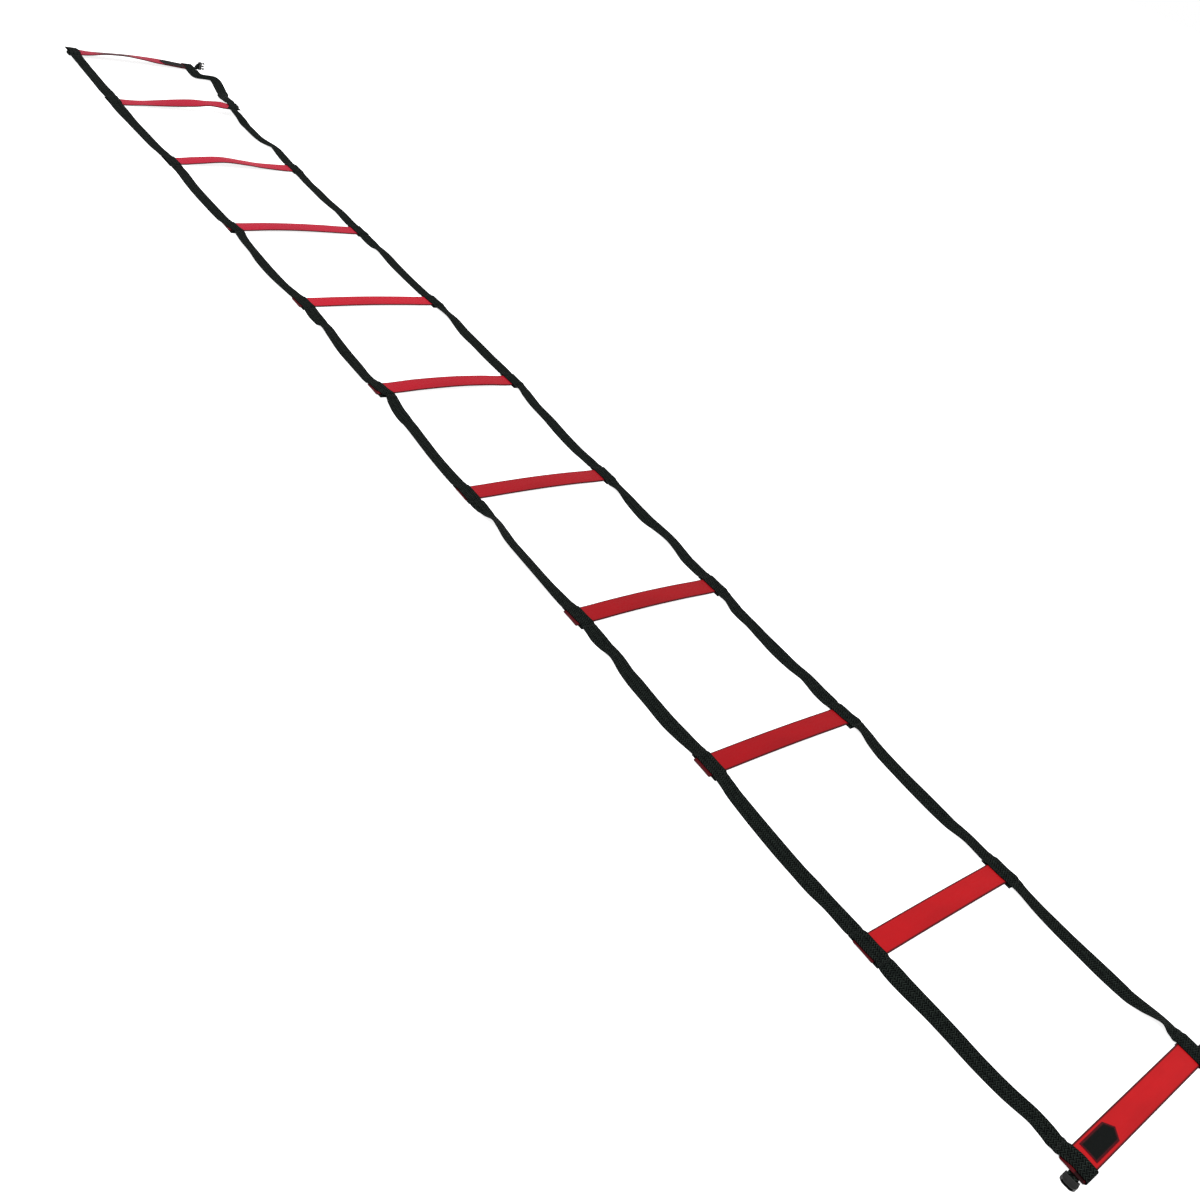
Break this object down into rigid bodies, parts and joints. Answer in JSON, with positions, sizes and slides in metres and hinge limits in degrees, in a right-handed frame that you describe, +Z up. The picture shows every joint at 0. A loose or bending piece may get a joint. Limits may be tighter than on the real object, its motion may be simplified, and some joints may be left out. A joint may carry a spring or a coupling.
{
  "type": "agility ladder",
  "caption": "Flat-rung speed ladder of red slats between two black webbing straps, folding at every bay, with a side-release buckle half at each corner.",
  "frame": {"origin": "middle of the footprint, on the ground", "axes": "+Y along the ladder from the near end's sockets to the far end's plugs, +X along the rungs to the right, +Z up"},
  "size_m": [0.5235, 4.5987, 0.0281],
  "materials": {
    "slat": "extruded PVC, satin",
    "webbing": "woven polypropylene",
    "buckle": "moulded acetal, fine texture",
    "patch": "sewn woven patch, bare"
  },
  "bodies": {
    "section_00": {"rung_00": "slat", "strap_left_00": "webbing", "strap_right_00": "webbing", "tab_far_left": "webbing", "tab_far_right": "webbing"},
    "section_01": {"rung_01": "slat", "strap_left_01": "webbing", "strap_right_01": "webbing", "keeper_left_01": "webbing", "keeper_right_01": "webbing"},
    "section_02": {"rung_02": "slat", "strap_left_02": "webbing", "strap_right_02": "webbing", "keeper_left_02": "webbing", "keeper_right_02": "webbing"},
    "section_03": {"rung_03": "slat", "strap_left_03": "webbing", "strap_right_03": "webbing", "keeper_left_03": "webbing", "keeper_right_03": "webbing"},
    "section_04": {"rung_04": "slat", "strap_left_04": "webbing", "strap_right_04": "webbing", "keeper_left_04": "webbing", "keeper_right_04": "webbing"},
    "section_05": {"rung_05": "slat", "strap_left_05": "webbing", "strap_right_05": "webbing", "keeper_left_05": "webbing", "keeper_right_05": "webbing"},
    "section_06": {"rung_06": "slat", "strap_left_06": "webbing", "strap_right_06": "webbing", "keeper_left_06": "webbing", "keeper_right_06": "webbing"},
    "section_07": {"rung_07": "slat", "strap_left_07": "webbing", "strap_right_07": "webbing", "keeper_left_07": "webbing", "keeper_right_07": "webbing"},
    "section_08": {"rung_08": "slat", "strap_left_08": "webbing", "strap_right_08": "webbing", "keeper_left_08": "webbing", "keeper_right_08": "webbing"},
    "section_09": {"rung_09": "slat", "strap_left_09": "webbing", "strap_right_09": "webbing", "keeper_left_09": "webbing", "keeper_right_09": "webbing"},
    "section_10": {"rung_10": "slat", "strap_left_10": "webbing", "strap_right_10": "webbing", "tab_near_left": "webbing", "tab_near_right": "webbing", "label_patch": "patch"},
    "plug_far_left": {"buckle_male_far_left": "buckle"},
    "plug_far_right": {"buckle_male_far_right": "buckle"},
    "socket_near_left": {"buckle_female_near_left": "buckle"},
    "socket_near_right": {"buckle_female_near_right": "buckle"}
  },
  "joints": [
    {"name": "fold_00", "type": "hinge", "parent": "section_01", "child": "section_00", "pos_m": [0, 2.04662, 0.0276], "axis": [1, 0, 0], "range_deg": [0, 178]},
    {"name": "fold_01", "type": "hinge", "parent": "section_02", "child": "section_01", "pos_m": [0, 1.61041, -0.006], "axis": [-1, 0, 0], "range_deg": [0, 178]},
    {"name": "fold_02", "type": "hinge", "parent": "section_03", "child": "section_02", "pos_m": [0, 1.15456, 0.0216], "axis": [1, 0, 0], "range_deg": [0, 178]},
    {"name": "fold_03", "type": "hinge", "parent": "section_04", "child": "section_03", "pos_m": [0, 0.7003, -0.006], "axis": [-1, 0, 0], "range_deg": [0, 178]},
    {"name": "fold_04", "type": "hinge", "parent": "section_05", "child": "section_04", "pos_m": [0, 0.24764, 0.0216], "axis": [1, 0, 0], "range_deg": [0, 178]},
    {"name": "fold_05", "type": "hinge", "parent": "section_05", "child": "section_06", "pos_m": [0, -0.20936, -0.006], "axis": [1, 0, 0], "range_deg": [0, 178]},
    {"name": "fold_06", "type": "hinge", "parent": "section_06", "child": "section_07", "pos_m": [0, -0.6723, 0.0156], "axis": [-1, 0, 0], "range_deg": [0, 178]},
    {"name": "fold_07", "type": "hinge", "parent": "section_07", "child": "section_08", "pos_m": [0, -1.13387, -0.006], "axis": [1, 0, 0], "range_deg": [0, 178]},
    {"name": "fold_08", "type": "hinge", "parent": "section_08", "child": "section_09", "pos_m": [0, -1.5943, 0.0156], "axis": [-1, 0, 0], "range_deg": [0, 178]},
    {"name": "fold_09", "type": "hinge", "parent": "section_09", "child": "section_10", "pos_m": [0, -2.04718, -0.006], "axis": [1, 0, 0], "range_deg": [0, 178]},
    {"name": "swing_far_left", "type": "hinge", "parent": "section_00", "child": "plug_far_left", "pos_m": [-0.25204, 2.25364, 0.0036], "axis": [0, 1, 0], "range_deg": [0, 150]},
    {"name": "swing_far_right", "type": "hinge", "parent": "section_00", "child": "plug_far_right", "pos_m": [0.22506, 2.25364, 0.0136], "axis": [0, 0, 1], "range_deg": [-80, 80]},
    {"name": "swing_near_left", "type": "hinge", "parent": "section_10", "child": "socket_near_left", "pos_m": [-0.24014, -2.28383, 0.00455], "axis": [-0.1045, 0.9945, 0], "range_deg": [-90, 90]},
    {"name": "swing_near_right", "type": "hinge", "parent": "section_10", "child": "socket_near_right", "pos_m": [0.24074, -2.28383, 0.00455], "axis": [-0.1045, -0.9945, 0], "range_deg": [-90, 90]}
  ]
}
